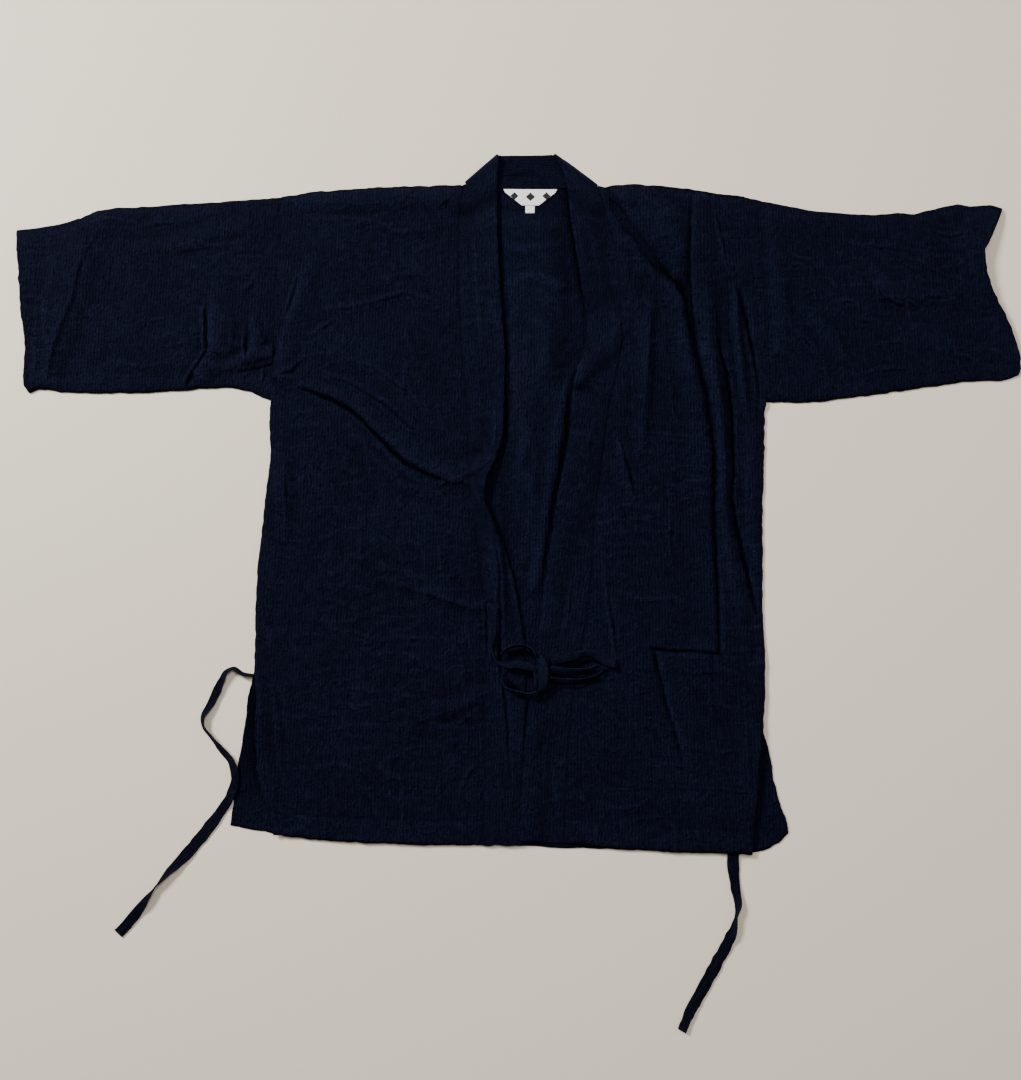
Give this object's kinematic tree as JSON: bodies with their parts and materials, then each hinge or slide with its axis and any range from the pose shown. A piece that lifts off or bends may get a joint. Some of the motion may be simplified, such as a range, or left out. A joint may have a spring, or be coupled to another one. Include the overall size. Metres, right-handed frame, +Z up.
{
  "type": "samue work jacket laid flat",
  "caption": "Samue work jacket laid out flat: open V front with a wide collar band, straight sleeves, patch pocket, side slits, loose side ties and front ties in a bow.",
  "frame": {"origin": "under the middle of the back, on the surface that the jacket lies on", "axes": "+X towards the wearer's left sleeve, +Y towards the neck, +Z up from the surface that it lies on"},
  "size_m": [1.1746, 0.9879, 0.0151],
  "materials": {
    "cotton": "dark navy crinkled cotton with fine lengthwise stripes",
    "cotton_band": "the same cotton, folded double along the collar band",
    "cotton_tie": "the same cotton, folded and stitched into narrow ties",
    "label_tape": "white woven tape"
  },
  "bodies": {
    "root": {"back": "cotton", "front_right": "cotton", "front_left": "cotton", "sleeve_right": "cotton", "sleeve_left": "cotton", "collar": "cotton_band", "pocket": "cotton", "label": "label_tape", "size_tab": "label_tape", "side_tie_right": "cotton_tie", "side_tie_left": "cotton_tie", "front_tie_right": "cotton_tie", "front_tie_left": "cotton_tie", "bow_loop_top": "cotton_tie", "bow_ear_left": "cotton_tie", "bow_ear_right": "cotton_tie", "bow_end": "cotton_tie", "bow_knot": "cotton_tie"}
  },
  "joints": []
}
